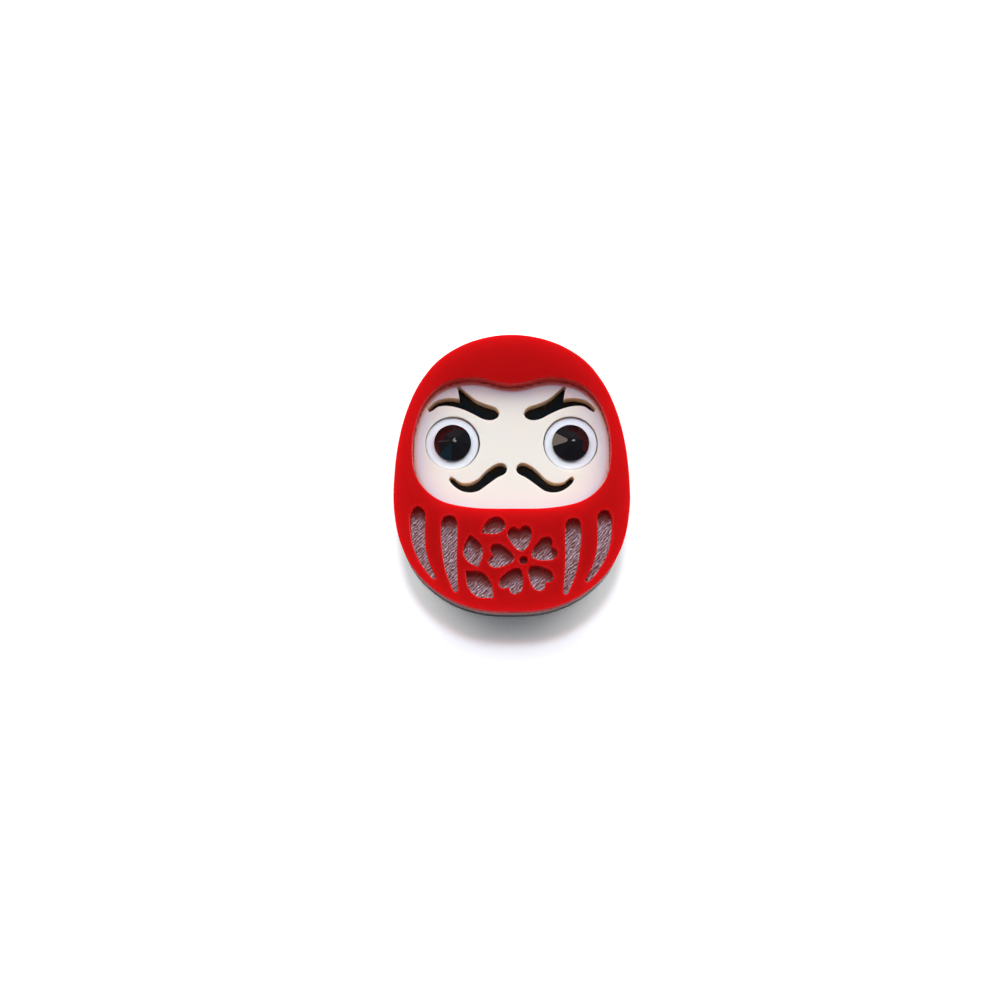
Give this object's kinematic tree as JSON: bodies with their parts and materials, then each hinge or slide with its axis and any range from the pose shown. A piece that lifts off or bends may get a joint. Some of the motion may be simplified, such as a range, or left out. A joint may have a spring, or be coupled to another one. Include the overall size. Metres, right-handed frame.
{
  "type": "daruma brooch",
  "caption": "Flat daruma doll brooch of layered acrylic sheet with a cut-out face, crystal eyes that are put on one at a time, and a safety bar pin on its back.",
  "frame": {"origin": "centre of the bar pin's flat rear face, where the cloth lies when the brooch is worn", "axes": "+X to the viewer's right, +Y away from the face, out of the back towards the cloth, +Z towards the head"},
  "size_m": [0.0408, 0.0164, 0.0488],
  "materials": {
    "red_acrylic": "polished opaque red acrylic sheet with satin cut edges",
    "cream_acrylic": "opaque cream acrylic sheet, its laser-cut walls browned by heat",
    "glitter_acrylic": "silver glitter acrylic with fine slanting foil streaks",
    "black_acrylic": "polished opaque black acrylic",
    "white_acrylic": "gloss cold white",
    "black_crystal": "faceted jet black crystal",
    "nickel_steel": "nickel-plated stamped steel, tumbled bright",
    "nickel_wire": "nickel-plated drawn steel wire"
  },
  "bodies": {
    "brooch": {"front_plate": "red_acrylic", "face_plate": "cream_acrylic", "glitter_plate": "glitter_acrylic", "back_plate": "black_acrylic", "eye_disc_left": "white_acrylic", "eye_disc_right": "white_acrylic", "pin_bar": "nickel_steel", "hinge_rivet": "nickel_steel"},
    "stem": {"pin_stem": "nickel_wire"},
    "catch": {"catch_sleeve": "nickel_steel"},
    "left_eye": {"eye_stone_left": "black_crystal"},
    "right_eye": {"eye_stone_right": "black_crystal"}
  },
  "joints": [
    {"name": "pin_swing", "type": "hinge", "parent": "brooch", "child": "stem", "pos_m": [-0.0126, 0.0042, 0], "axis": [0, 0, 1], "range_deg": [0, 80]},
    {"name": "catch_turn", "type": "hinge", "parent": "brooch", "child": "catch", "pos_m": [0.0125, 0.0042, 0], "axis": [1, 0, 0], "range_deg": [0, 100]},
    {"name": "left_eye_lift", "type": "slide", "parent": "brooch", "child": "left_eye", "axis": [0, -1, 0], "range_m": [0, 0.01]},
    {"name": "right_eye_lift", "type": "slide", "parent": "brooch", "child": "right_eye", "axis": [0, -1, 0], "range_m": [0, 0.01]}
  ]
}
